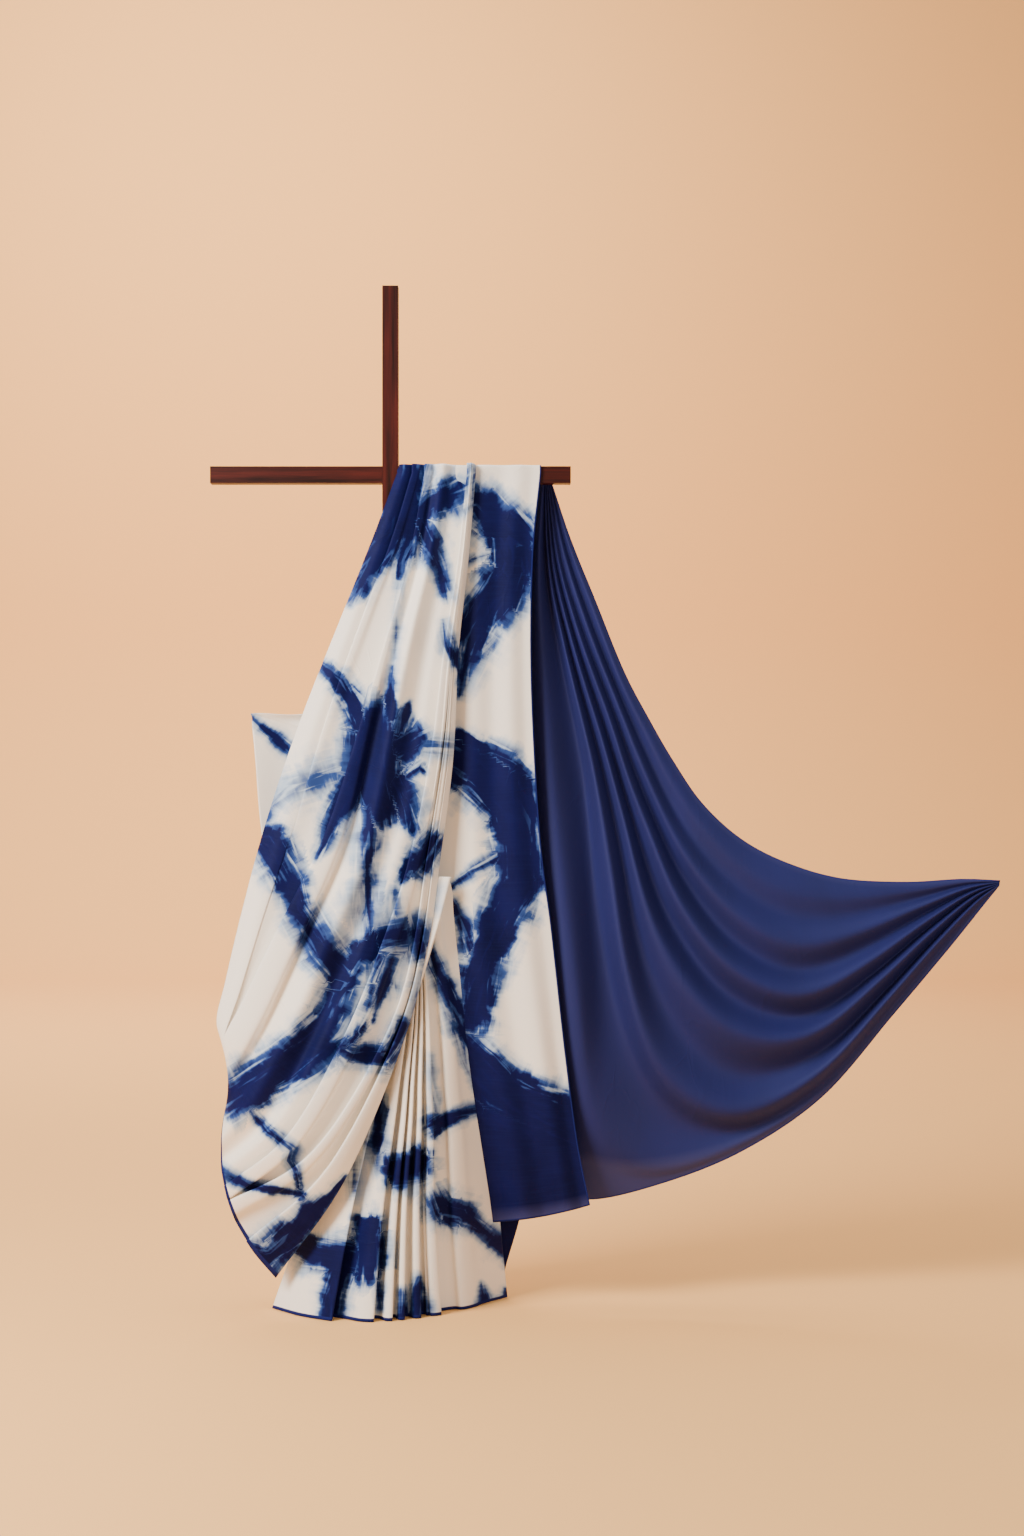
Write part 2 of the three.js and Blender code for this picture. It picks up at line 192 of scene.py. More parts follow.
# The first pleat is folded over the sash's edge at the waist and tucked in under it.
TUCK_LEVELS = [
    Level((74, 898, -60), (100, 897, -62), (127, 896, -64)),
    Level((60, 816, -64), (84, 816, -68), (107, 816, -72)),
    Level((41, 741, -68), (63, 741, -74), (85, 741, -78)),
    Level((12, 627, -80), (31, 627, -85), (50, 627, -87)),
]
TUCK_FOLDS = [
    Fold((0, 0), (-2, -2)),
    Fold((0.35, 0.35), (1, 2)),
    Fold((0.7, 0.65), (0, -1)),
    Fold((0.93, 0.93), (2, 3)),
    Fold((1, 1), (0, 0)),
]

BACK_LEVELS = [
    Level((20, 1756, 21), (148, 1756, 21), (292, 1756, 21)),
    Level((-30, 1520, 26), (128, 1530, 26), (288, 1545, 30)),
    Level((-105, 1262, 30), (97, 1330, 32), (286, 1373, 44)),
    Level((-190, 1238, 34), (56, 1210, 36), (286, 1184, 54)),
    Level((-284, 1240, 34), (2, 1165, 42), (284, 1090, 58)),
    Level((-291, 1226, 35), (0, 1150, 43), (282, 1072, 58)),
    Level((-284, 1140, 36), (2, 1048, 46), (278, 953, 60)),
    Level((-272, 997, 38), (6, 890, 52), (272, 785, 62)),
    Level((-243, 785, 40), (18, 690, 58), (262, 596, 62)),
    Level((-211, 470, 42), (24, 416, 64), (262, 365, 62)),
    Level((-202, 262, 43), (34, 238, 68), (278, 222, 64)),
    Level((-190, 75, 44), (28, 72, 70), (240, 71, 66)),
]
BACK_FOLDS = [
    Fold((0, 0, 0), (0, 0, 0)),
    Fold((0.12, 0.12, 0.1), (-2, -7, -10)),
    Fold((0.26, 0.26, 0.24), (2, 6, 12)),
    Fold((0.4, 0.4, 0.38), (-2, -8, -14)),
    Fold((0.55, 0.54, 0.52), (2, 7, 12)),
    Fold((0.7, 0.68, 0.66), (-2, -8, -14)),
    Fold((0.85, 0.84, 0.83), (2, 5, 10)),
    Fold((1, 1, 1), (0, 0, 0)),
]

SASH_DYE = [
    Stroke("shoulder", [(41, 1768, 63), (24, 1688, 84), (3, 1625, 88), (-33, 1570, 71),
                        (-68, 1509, 42), (-87, 1474, 10)]),
    Stroke("collar", [(167, 1715, 67), (121, 1694, 55), (87, 1682, 46), (53, 1650, 55)]),
    Stroke("drop", [(45, 1625, 71), (39, 1593, 55), (22, 1562, 29), (16, 1526, 8)]),
    Stroke("upper arm", [(56, 1642, 55), (83, 1593, 42), (100, 1551, 25), (118, 1490, 19)]),
    Stroke("pleat mark", [(112, 1432, 8), (123, 1383, 19), (137, 1348, 17), (144, 1306, 8)]),
    Stroke("star", [(-31, 1226, 84), (-33, 1173, 122), (-35, 1110, 126), (-22, 1041, 84)]),
    Stroke("star up left", [(-144, 1339, 17), (-106, 1306, 34), (-81, 1264, 38),
                            (-56, 1209, 55)]),
    Stroke("star top", [(5, 1340, 3), (1, 1290, 9), (-3, 1234, 44)]),
    Stroke("star top right", [(39, 1264, 6), (18, 1209, 55)]),
    Stroke("star right", [(20, 1173, 84), (56, 1192, 38)]),
    Stroke("star low right", [(9, 1089, 71), (32, 1041, 46), (47, 991, 19)]),
    Stroke("star low left", [(-81, 1083, 71), (-119, 1012, 38), (-154, 936, 6)]),
    Stroke("star side", [(37, 1110, 25), (62, 1129, 10), (70, 1117, 6)]),
    Stroke("star foot", [(-43, 1047, 50), (-45, 995, 30), (-50, 911, 14), (-47, 785, 18),
                         (-47, 711, 40)]),
    Stroke("left band", [(-283, 982, 63), (-257, 974, 71), (-209, 886, 55), (-196, 831, 50),
                         (-144, 745, 57), (-85, 680, 80)]),
    Stroke("node", [(-85, 669, 92), (-52, 726, 71), (-35, 772, 29)]),
    Stroke("hip band", [(-81, 655, 92), (-117, 579, 105), (-218, 499, 88), (-325, 436, 84)]),
    Stroke("bundle high", [(91, 970, 42), (62, 928, 55)]),
    Stroke("bundle high left", [(39, 923, 29), (22, 890, 17)]),
    Stroke("bundle middle", [(-14, 764, 55), (24, 772, 59)]),
    Stroke("bundle middle right", [(51, 781, 46), (60, 743, 42)]),
    Stroke("bundle wedge", [(3, 718, 21), (-26, 636, 17), (-37, 592, 4)]),
    Stroke("bundle low right", [(28, 585, 29), (11, 543, 38), (-5, 520, 34)]),
    Stroke("bundle low left", [(-102, 533, 32), (-81, 520, 38), (-22, 520, 42)]),
    Stroke("knee line", [(-295, 407, 15), (-255, 363, 13), (-203, 325, 15), (-211, 302, 13),
                         (-199, 281, 10), (-188, 224, 13)]),
    Stroke("low line", [(-350, 272, 17), (-299, 249, 15), (-243, 239, 13), (-184, 230, 13)]),
    Stroke("border", [(-96, 264, 8), (-127, 226, 21), (-165, 193, 42), (-207, 144, 59),
                      (-257, 100, 63), (-291, 109, 38)]),
]
SASH_WASH = [
    Stroke("star left", [(-81, 1121, 59), (-152, 1100, 50), (-215, 1079, 46),
                         (-249, 1045, 29), (-266, 995, 29)]),
    Stroke("star down", [(-43, 1016, 46), (-50, 911, 42), (-47, 785, 55), (-47, 711, 63)]),
    Stroke("pleat right", [(70, 1175, 25), (104, 1173, 25), (135, 1171, 29)]),
    Stroke("left spur", [(-112, 764, 34), (-81, 726, 46)]),
    Stroke("crease top", [(16, 1562, 9), (11, 1394, 5), (3, 1289, 12)]),
    Stroke("bundle drip", [(9, 865, 10), (11, 806, 34)]),
    Stroke("bundle side", [(60, 684, 15), (47, 606, 17)]),
    Stroke("bundle middle", [(-5, 732, 38), (-14, 669, 42)]),
]
FALL_DYE = [
    Stroke("neck", [(167, 1692, 50), (188, 1684, 59), (224, 1646, 76), (258, 1608, 112)]),
    Stroke("mass", [(250, 1614, 100), (258, 1555, 96), (244, 1503, 105)]),
    Stroke("mass side", [(268, 1600, 70), (278, 1545, 70)]),
    Stroke("edge", [(308, 1625, 17), (301, 1562, 29), (299, 1486, 17)]),
    Stroke("arm", [(247, 1520, 105), (202, 1457, 97), (169, 1394, 67), (152, 1331, 29),
                   (144, 1274, 6)]),
    Stroke("thorn", [(167, 1560, 4), (196, 1574, 10), (234, 1587, 21)]),
    Stroke("second head", [(129, 1146, 84), (184, 1117, 109), (240, 1064, 122)]),
    Stroke("second top", [(142, 1196, 17), (188, 1167, 34), (251, 1136, 38), (293, 1100, 29)]),
    Stroke("second body", [(255, 1068, 126), (272, 974, 105), (274, 890, 109), (240, 823, 84),
                           (202, 743, 80), (184, 669, 71), (175, 596, 63)]),
    Stroke("second left", [(125, 875, 6), (167, 904, 13), (209, 928, 19), (251, 953, 34)]),
    Stroke("inner arm", [(129, 842, 13), (150, 802, 25), (167, 747, 38)]),
    Stroke("foot top", [(150, 512, 120), (180, 484, 120), (222, 441, 120), (285, 411, 120),
                        (345, 387, 120), (430, 356, 120)]),
    Stroke("foot", [(140, 330, 250), (167, 290, 300), (300, 200, 400), (419, 150, 420)]),
]
FALL_WASH = [
    Stroke("neck wash", [(184, 1635, 55), (209, 1614, 42)]),
    Stroke("arm wash", [(276, 1478, 25), (230, 1425, 34), (188, 1362, 29), (154, 1289, 13)]),
    Stroke("second wash", [(167, 1079, 42), (219, 1033, 34)]),
]
PLEAT_DYE = [
    Stroke("thigh", [(81, 743, 17), (114, 669, 29), (146, 596, 36), (171, 522, 29),
                     (188, 464, 17)]),
    Stroke("knee", [(92, 374, 40), (114, 386, 27), (146, 398, 18), (196, 409, 14)]),
    Stroke("middle", [(20, 279, 66), (45, 284, 66), (62, 298, 56)]),
    Stroke("middle left corners", [(-5, 304, 14), (-5, 253, 14)]),
    Stroke("middle right corners", [(82, 319, 14), (80, 280, 14)]),
    Stroke("lower right", [(104, 214, 44), (112, 196, 46), (146, 190, 52), (188, 159, 22),
                           (226, 128, 40), (244, 108, 34)]),
    Stroke("left wedge", [(-14, 440, 8), (-18, 409, 17), (-32, 338, 36)]),
    Stroke("block", [(-56, 168, 34), (-38, 168, 40), (-47, 140, 62), (-47, 96, 64),
                     (-47, 70, 58)]),
    Stroke("block corners", [(-70, 178, 12), (-25, 178, 14), (-25, 60, 14), (-70, 64, 14)]),
    Stroke("block tail", [(-24, 41, 13), (-22, -9, 8)]),
    Stroke("left block", [(-205, 128, 28), (-155, 104, 58), (-100, 98, 84)]),
    Stroke("left tail", [(-104, 71, 56), (-119, 12, 44), (-127, -43, 38)]),
    Stroke("hem left", [(26, 29, 6), (30, -24, 25)]),
    Stroke("hem middle", [(58, 54, 8), (58, -26, 50)]),
    Stroke("hem right", [(190, 44, 4), (205, -26, 42)]),
    Stroke("hem corner", [(244, 29, 13), (230, -17, 21)]),
]
PLEAT_WASH = [
    Stroke("left wash", [(-76, 292, 22), (-74, 236, 14)]),
    Stroke("pleat streak", [(85, 520, 6), (98, 407, 6)]),
    Stroke("wedge wash", [(-33, 312, 30), (-28, 280, 12)]),
]
TUCK_DYE = [
    Stroke("low mark", [(49, 690, 12), (45, 659, 12), (28, 613, 26)]),
]
TUCK_WASH = [Stroke("high mark", [(74, 862, 34), (79, 837, 21)])]
# The narrow pleat of the sash, and the edge of its bundle, stayed white beside the dye.
SASH_KEPT = [
    Stroke("narrow pleat", [(171, 1775, 22), (166, 1700, 24), (152, 1593, 29), (138, 1490, 33)]),
    Stroke("below the mark", [(122, 1325, 36), (108, 1215, 34)]),
    Stroke("bundle left", [(-44, 712, 10), (-53, 690, 32), (-76, 600, 44), (-93, 568, 28)]),
]
BACK_DYE = [
    Stroke("corner line", [(-299, 1236, 10), (-257, 1203, 16), (-207, 1159, 22)]),
    Stroke("right foot", [(262, 440, 110), (280, 222, 130), (240, 40, 100)]),
]
# What colours a sheet: full strokes, thin washes, and places kept free of full strokes.
Pattern = namedtuple("Pattern", "dye wash kept", defaults=([], [], []))

# Dark lines and sheer bands along a sheet's borders: the border, the line's width and, at
# even steps along it, how wide the cloth lies single there and lets the light through; the
# light coming through is painted into the band's colour.
Border = namedtuple("Border", "side line band", defaults=[(0, 0)])
SWAG_BORDERS = [
    Border("left", 4, (0, 0, 40, 75, 90, 105, 66, 34, 22, 18, 16, 14, 8)),
    Border("right", 4, (8, 12, 12)), Border("hem", 4),
]
FALL_BORDERS = [Border("right", 3), Border("hem", 4, (27, 27))]
PLEAT_BORDERS = [Border("hem", 6.5)]
SASH_BORDERS = [Border("hem", 5.5)]

# How strongly a silk crumples and shines, and the tints of its shine and its sheen.
Finish = namedtuple("Finish", "crumple gloss gloss_tint sheen sheen_tint")
DYED_FINISH = Finish(0.5, 0.07, (1.0, 1.0, 1.0), 0.03, (0.75, 0.8, 1.0))
PLAIN_FINISH = Finish(0.4, 0.3, (0.55, 0.62, 1.0), 0.045, (0.45, 0.55, 1.0))


def linear(hex_colour):
    """A screen colour such as "232A63" as the linear red, green and blue that nodes take."""
    parts = [int(hex_colour[i:i + 2], 16) / 255 for i in (0, 2, 4)]
    return [p / 12.92 if p <= 0.04045 else ((p + 0.055) / 1.055) ** 2.4 for p in parts]


def colour_setting(name, description, hex_colour):
    """A colour that the sidebar shows, with its default given as a screen colour."""
    return FloatVectorProperty(
        name=name, description=description, size=3, default=linear(hex_colour), min=0, max=1,
        subtype="COLOR")


class ClothSettings(PropertyGroup):
    """The saree's thickness, its dye colours and the colour of the painted light through its
    sheer bands.
    """

    thickness: FloatProperty(
        name="Cloth thickness", description="Thickness of the silk", default=0.0011,
        min=0.0005, max=0.003, subtype="DISTANCE", unit="LENGTH")
    ground: colour_setting("Undyed silk", "Colour of the cloth where no dye took", "F2EBE0")
    pale: colour_setting("Pale blue", "Colour where the dye bled thinly", "A6BAD0")
    middle: colour_setting("Middle blue", "Colour at the edge of the dyed places", "304A85")
    indigo: colour_setting("Indigo", "Colour of the fully dyed cloth", "0E1147")
    indigo_deep: colour_setting("Deep indigo", "Colour where the dye pooled", "080B34")
    plain: colour_setting("Plain end", "Colour of the evenly dyed plain end", "282B60")
    # The sheer band's colour is painted light shining through the single cloth.
    painted_light_through: colour_setting("Sheer band", "Colour where the dyed cloth lies single", "363660")
    selvedge: colour_setting("Selvedge", "Colour of the lines along the borders", "171F5C")


class StandSettings(PropertyGroup):
    """The stand's wood colours."""

    wood: colour_setting("Wood", "Colour of the stained wood", "440D03")
    wood_dark: colour_setting("Wood grain", "Colour of the grain lines", "1E0602")
    floor: colour_setting("Floor", "Colour of the studio floor", "FFBF72")


def smooth(values, t):
    """The places on an even curve through values at each t, from 0 to 1."""
    values = np.asarray(values, float)
    last = len(values) - 1
    at = np.clip(t, 0, 1) * last
    i = np.minimum(at.astype(int), last - 1)
    f = (at - i).reshape((-1,) + (1,) * (values.ndim - 1))
    ends = np.concatenate(
        [[2 * values[0] - values[1]], values, [2 * values[-1] - values[-2]]])
    a, b, c, d = (ends[i + k] for k in range(4))
    return b + 0.5 * f * (c - a + f * (2 * a - 5 * b + 4 * c - d + f * (3 * (b - c) + d - a)))


def across_rails(rails, columns):
    """Rows of points on the curve through each row's fold lines.

    rails is rows x folds x 3. Each gap between folds gets points by its width, and the
    tight ones a few more.
    """
    ends = np.concatenate(
        [2 * rails[:, :1] - rails[:, 1:2], rails, 2 * rails[:, -1:] - rails[:, -2:-1]], axis=1)
    gaps = np.linalg.norm(np.diff(ends, axis=1), axis=2)
    inner = gaps[:, 1:-1].mean(axis=0)
    weight = np.concatenate([[0], np.cumsum(inner + 0.35 * inner.mean())])
    at = np.interp(np.linspace(0, weight[-1], columns), weight, np.arange(len(weight)))
    i = np.minimum(at.astype(int), len(inner) - 1)
    f = (at - i)[None, :, None]
    knots = np.sqrt(np.maximum(gaps, 1e-6))
    p = [ends[:, i + k] for k in range(4)]
    g = [knots[:, i + k][:, :, None] for k in range(3)]
    t0, t1, t2, t3 = 0, g[0], g[0] + g[1], g[0] + g[1] + g[2]
    t = t1 + f * g[1]
    a1 = (t1 - t) / (t1 - t0) * p[0] + (t - t0) / (t1 - t0) * p[1]
    a2 = (t2 - t) / (t2 - t1) * p[1] + (t - t1) / (t2 - t1) * p[2]
    a3 = (t3 - t) / (t3 - t2) * p[2] + (t - t2) / (t3 - t2) * p[3]
    b1 = (t2 - t) / (t2 - t0) * a1 + (t - t0) / (t2 - t0) * a2
    b2 = (t3 - t) / (t3 - t1) * a2 + (t - t1) / (t3 - t1) * a3
    return (t2 - t) / (t2 - t1) * b1 + (t - t1) / (t2 - t1) * b2


def place(seen):
    """Real points for points given as (x, z, depth) as they look from the front."""
    scale = 1 + seen[..., 2] / VIEWER["distance"]
    return np.stack([
        VIEWER["x"] + (seen[..., 0] - VIEWER["x"]) * scale, seen[..., 2],
        VIEWER["z"] + (seen[..., 1] - VIEWER["z"]) * scale], axis=-1)


def seen_from_front(points):
    """Where real points look to be from the front, as (x, z)."""
    scale = 1 + points[..., 1] / VIEWER["distance"]
    return np.stack([
        VIEWER["x"] + (points[..., 0] - VIEWER["x"]) / scale,
        VIEWER["z"] + (points[..., 2] - VIEWER["z"]) / scale], axis=-1)


def fold_lines(folds):
    """The folds' lines from left to right, with each lip as its edge and its two turns."""
    lines = []
    for fold in folds:
        if isinstance(fold, Fold):
            lines.append(fold)
            continue
        way = 1 if fold.top == "right" else -1
        share, cover, rise = (np.array(part, float) for part in fold[1:])
        over = Fold(share + way * 1.3 * cover, 0.75 * rise)
        under = Fold(share + way * cover, -0.6 * rise)
        edge = Fold(share, rise)
        lines += [under, edge, over][::way]
    return lines


def sheet_points(levels, folds, rows, columns, on_floor=False):
    """The sheet's points, rows x columns x 3, from its levels and fold lines."""
    t = np.linspace(0, 1, rows)
    border = [smooth([getattr(level, side) for level in levels], t)
              for side in ("left", "middle", "right")]
    lines = fold_lines(folds)
    share = np.stack([smooth(line.share, t) for line in lines], axis=1)[:, :, None]
    rise = np.stack([smooth(line.rise, t) for line in lines], axis=1)
    left, middle, right = (side[:, None, :] for side in border)
    seen = (left * (1 - share) * (1 - 2 * share) + middle * 4 * share * (1 - share)
            + right * share * (2 * share - 1))
    seen[..., 2] -= rise
    rails = seen[..., [0, 2, 1]] if on_floor else place(seen)
    return across_rails(rails, columns)


def over_bar(front):
    """Rows that carry a sheet's top row from behind the bar, over it, to the front."""
    rows, clear_of_post, hangs_behind = 18, 3, 30
    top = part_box("arm_right")[1][2] / MM
    beside_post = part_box("post")[1][0] / MM + clear_of_post
    reach = -front[:, 1]
    below, above = 3.0, 2.5 + 0.12 * (reach - reach.min())
    turned = []
    for angle in np.linspace(0, np.pi, rows):
        y = np.sign(np.cos(angle)) * np.sqrt(abs(np.cos(angle))) * reach
        z = top - below + np.sqrt(np.sin(angle)) * (below + above)
        turned.append(np.stack([np.maximum(front[:, 0], beside_post), y, z], axis=1))
    down = turned[0].copy()
    down[:, 2] -= hangs_behind
    before = turned[-1].copy()
    before[:, 0] = front[:, 0]
    before[:, 2] = (before[:, 2] + front[:, 2]) / 2
    return np.stack([down] + turned + [before])


def knife_folds(knives, fan, climb, step):
    """Fold lines of knife pleats that fan out from the waist to the hem."""
    hem = [(0, 0), (0.14, 0.6 * step)]
    for i, (edge, overlap) in enumerate(knives):
        following = knives[i + 1].edge if i + 1 < len(knives) else 1
        hem += [
            (edge - overlap * 0.6, 0.8 * step), (edge, step), (edge - overlap * 0.2, 0.2 * step),
            (edge - overlap, -0.2 * step), (edge - overlap * 0.8, -step),
            (edge + 0.2 * (following - edge), -0.9 * step)]
    hem += [(0.82, 0.3 * step), (0.87, 0.5 * step), (0.9, -0.2 * step), (1, 0)]
    last = knives[-1].edge
    folds = []
    for share, rise in hem:
        if share < last:
            shares = [share * part for part in fan]
        else:
            beyond = (share - last) / (1 - last)
            shares = [last * part + beyond * (1 - last * part) for part in fan]
        folds.append(Fold(shares, [rise * part for part in climb]))
    return folds


def dye_depth(seen, strokes):
    """How far each seen place lies inside the strokes (- outside them), with the dye's run.

    The run is the place along the nearest stroke and across it, so that streaks can follow,
    and half the stroke's width there, because thin strokes bleed less.
    """
    best = np.full(len(seen), NO_STROKE)
    run = np.zeros((len(seen), 3))
    offset = 0.0
    for stroke in strokes:
        path = np.array(stroke.path, float)
        for a, b in zip(path, path[1:]):
            along = b[:2] - a[:2]
            length = max(np.hypot(*along), 1e-6)
            from_a = seen - a[:2]
            passed = from_a @ along / length
            t = np.clip(passed / length, 0, 1)
            away = from_a - t[:, None] * along
            half = (a[2] + t * (b[2] - a[2])) / 2
            inside = half - np.hypot(away[:, 0], away[:, 1])
            beside = (along[0] * from_a[:, 1] - along[1] * from_a[:, 0]) / length
            nearer = inside > best
            best[nearer] = inside[nearer]
            run[nearer] = np.stack([offset + passed, beside, half], axis=1)[nearer]
            offset += length
    return best, run


def grid_mesh(name, points):
    """A mesh of a sheet's points, made from a grid, with its UV map in metres."""
    rows, columns = points.shape[:2]
    bm = bmesh.new()
    bmesh.ops.create_grid(bm, x_segments=columns - 1, y_segments=rows - 1, size=1)
    mesh = bpy.data.meshes.new(name)
    bm.to_mesh(mesh)
    bm.free()
    flat = np.empty(len(mesh.vertices) * 3)
    mesh.vertices.foreach_get("co", flat)
    flat = flat.reshape(-1, 3)
    column = np.rint((flat[:, 0] + 1) / 2 * (columns - 1)).astype(int)
    row = np.rint((1 - flat[:, 1]) / 2 * (rows - 1)).astype(int)
    real = points[row, column]
    mesh.vertices.foreach_set("co", (real * MM).ravel())
    widths = np.linalg.norm(np.diff(points, axis=1), axis=2)
    lengths = np.linalg.norm(np.diff(points, axis=0), axis=2)
    u = np.concatenate([[0], np.cumsum(widths.mean(axis=0))]) * MM
    v = np.concatenate([[0], np.cumsum(lengths.mean(axis=1))]) * MM
    uv = np.stack([u[column], -v[row]], axis=1)
    corner = np.empty(len(mesh.loops), int)
    mesh.loops.foreach_get("vertex_index", corner)
    mesh.uv_layers.new(name="Cloth").data.foreach_set("uv", uv[corner].ravel())
    mesh.polygons.foreach_set("use_smooth", [True] * len(mesh.polygons))
    mesh.update()
    from_left = np.concatenate([np.zeros((rows, 1)), np.cumsum(widths, axis=1)], axis=1)
    from_right = from_left[:, -1:] - from_left
    down = row / (rows - 1)
    inward = {"left": (from_left[row, column], down), "right": (from_right[row, column], down),
              "hem": ((v[-1] - v[row]) / MM, column / (columns - 1))}
    return mesh, real, (u[-1], v[-1]), inward


def add_object(name, data):
    """A new object in the scene."""
    item = bpy.data.objects.new(name, data)
    bpy.context.scene.collection.objects.link(item)
    return item


def put(mesh, name, *columns):
    """Stores up to three numbers, given in millimetres, at each point under a name."""
    values = np.zeros((len(mesh.vertices), 3), np.float32)
    for axis, column in enumerate(columns):
        values[:, axis] = column * MM
    store = mesh.attributes.new(name, "FLOAT_VECTOR", "POINT")
    store.data.foreach_set("vector", values.ravel())


def make_sheet(name, points, pattern, borders, silk="Dyed silk"):
    """A cloth piece in the scene from a sheet's points, its pattern and its borders."""
    mesh, real, size, inward = grid_mesh(name, points)
    seen = seen_from_front(real)
    depth, run = dye_depth(seen, pattern.dye)
    pale, pale_run = dye_depth(seen, pattern.wash)
    kept, _ = dye_depth(seen, pattern.kept)
    depth = np.minimum(depth, -kept)
    line = np.full(len(depth), NO_BORDER)
    # band: how far inside a sheer band, where the light through the single cloth is painted.
    band = np.full(len(depth), NO_BORDER)
    for border in borders:
        away, along = inward[border.side]
        line = np.maximum(line, border.line - away)
        width = np.interp(along, np.linspace(0, 1, len(border.band)), border.band)
        band = np.maximum(band, np.where(width > 0, width - away, NO_BORDER))
    put(mesh, "dye", depth, pale)
    put(mesh, "edges", line, band)
    put(mesh, "run", *run.T)
    put(mesh, "pale_run", *pale_run.T)
    piece = add_object(name, mesh)
    mesh.materials.append(silk_material(silk))
    rim = piece.modifiers.new("Cloth thickness", "SOLIDIFY")
    rim.thickness = bpy.context.scene.saree_cloth.thickness
    rim.offset = 0
    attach(piece, "root")
    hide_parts("saree")


class Wiring:
    """Adds nodes to one node tree and joins them."""

    def __init__(self, tree):
        self.tree = tree

    def node(self, kind, **settings):
        """A new node with its settings."""
        made = self.tree.nodes.new(kind)
        for key, value in settings.items():
            setattr(made, key, value)
        return made

    def join(self, source, target):
        """Links two sockets."""
        self.tree.links.new(source, target)

    def feed(self, value, socket):
        """Links a socket's value in, or sets a fixed one."""
        if hasattr(value, "is_output"):
            self.join(value, socket)
        else:
            socket.default_value = value

    def attribute(self, name):
        """Three numbers stored on the mesh."""
        return self.node("ShaderNodeAttribute", attribute_name=name).outputs["Vector"]

    def parts(self, vector):
        """A vector's three numbers, by axis."""
        made = self.node("ShaderNodeSeparateXYZ")
        self.join(vector, made.inputs[0])
        return made.outputs

    def bump(self, height, strength, distance, normal):
        """A fine relief joined to a normal socket."""
        made = self.node("ShaderNodeBump")
        made.inputs["Strength"].default_value = strength
        made.inputs["Distance"].default_value = distance
        self.join(height, made.inputs["Height"])
        self.join(made.outputs["Normal"], normal)

    def math(self, operation, first, second=None):
        """The result of a sum on sockets or numbers."""
        made = self.node("ShaderNodeMath", operation=operation)
        for socket, value in zip(made.inputs, (first, second)):
            if value is not None:
                self.feed(value, socket)
        return made.outputs[0]

    def noise(self, vector, scale, detail=4.0, roughness=0.55, distortion=0.0):
        """A cloudy value from 0 to 1."""
        made = self.node("ShaderNodeTexNoise")
        self.join(vector, made.inputs["Vector"])
        made.inputs["Scale"].default_value = scale
        made.inputs["Detail"].default_value = detail
        made.inputs["Roughness"].default_value = roughness
        made.inputs["Distortion"].default_value = distortion
        return made.outputs["Fac"]

    def stretched(self, vector, scale):
        """The vector with each axis scaled."""
        made = self.node("ShaderNodeMapping", vector_type="POINT")
        self.join(vector, made.inputs["Vector"])
        made.inputs["Scale"].default_value = scale
        return made.outputs["Vector"]

    def between(self, value, low, high, to_low=0.0, to_high=1.0):
        """The value carried from one range to another and held inside it."""
        made = self.node("ShaderNodeMapRange", clamp=True)
        self.join(value, made.inputs["Value"])
        for key, number in zip(("From Min", "From Max", "To Min", "To Max"),
                               (low, high, to_low, to_high)):
            made.inputs[key].default_value = number
        return made.outputs["Result"]

    def blend(self, factor, first, second):
        """A mix of two colours, each a socket or a fixed colour."""
        made = self.node("ShaderNodeMix", data_type="RGBA")
        factor_in, colours_in, colour_out = made.inputs[0], made.inputs[6:8], made.outputs[2]
        self.feed(factor, factor_in)
        for socket, value in zip(colours_in, (first, second)):
            self.feed(value if hasattr(value, "is_output") else (*value, 1), socket)
        return colour_out


def new_group(name, inputs, outputs):
    """A shader node group with its named sockets, and its wiring and ends."""
    group = bpy.data.node_groups.new(name, "ShaderNodeTree")
    for in_out, sockets in (("INPUT", inputs), ("OUTPUT", outputs)):
        for label, kind in sockets:
            group.interface.new_socket(label, in_out=in_out, socket_type="NodeSocket" + kind)
    wiring = Wiring(group)
    return group, wiring, wiring.node("NodeGroupInput"), wiring.node("NodeGroupOutput")


def silk_group():
    """The silk's fine relief: slubs of the weave and soft crumples, and its gloss."""
    group, w, start, end = new_group(
        "Silk surface", [("Cloth", "Vector"), ("Crumple", "Float")],
        [("Height", "Float"), ("Roughness", "Float")])
    cloth = start.outputs["Cloth"]
    slubs = w.noise(w.stretched(cloth, (30, 900, 1)), 1.0, 3.0)
    warps = w.noise(w.stretched(cloth, (1100, 25, 1)), 1.0, 2.0)
    folds = w.noise(w.stretched(cloth, (9, 5, 1)), 1.0, 3.0, 0.5, 0.6)
    creases = w.node("ShaderNodeTexVoronoi", feature="DISTANCE_TO_EDGE")
    bent = w.node("ShaderNodeVectorMath", operation="MULTIPLY_ADD")
    wobble = w.node("ShaderNodeTexNoise")
    w.join(cloth, wobble.inputs["Vector"])
    wobble.inputs["Scale"].default_value = 9.0
    w.join(wobble.outputs["Color"], bent.inputs[0])
    bent.inputs[1].default_value = (0.12, 0.12, 0)
    w.join(w.stretched(cloth, (1.0, 0.7, 1)), bent.inputs[2])
    w.join(bent.outputs["Vector"], creases.inputs["Vector"])
    creases.inputs["Scale"].default_value = 13.0
    crease = w.between(creases.outputs["Distance"], 0.0, 0.03, 1.0, 0.0)
    patch = w.between(w.noise(cloth, 7.0, 3.0), 0.5, 0.6)
    crumple = w.math("MULTIPLY", w.math("MULTIPLY", crease, patch), 0.18)
    swell = w.math("MULTIPLY", folds, 0.6)
    soft = w.math("MULTIPLY", w.math("ADD", swell, crumple), start.outputs["Crumple"])
    threads = w.math("MULTIPLY", w.math("ADD", slubs, warps), 0.03)
    w.join(w.math("ADD", soft, threads), end.inputs["Height"])
    w.join(w.between(w.math("ADD", slubs, folds), 0.7, 1.3, 0.55, 0.68),
           end.inputs["Roughness"])
    return group


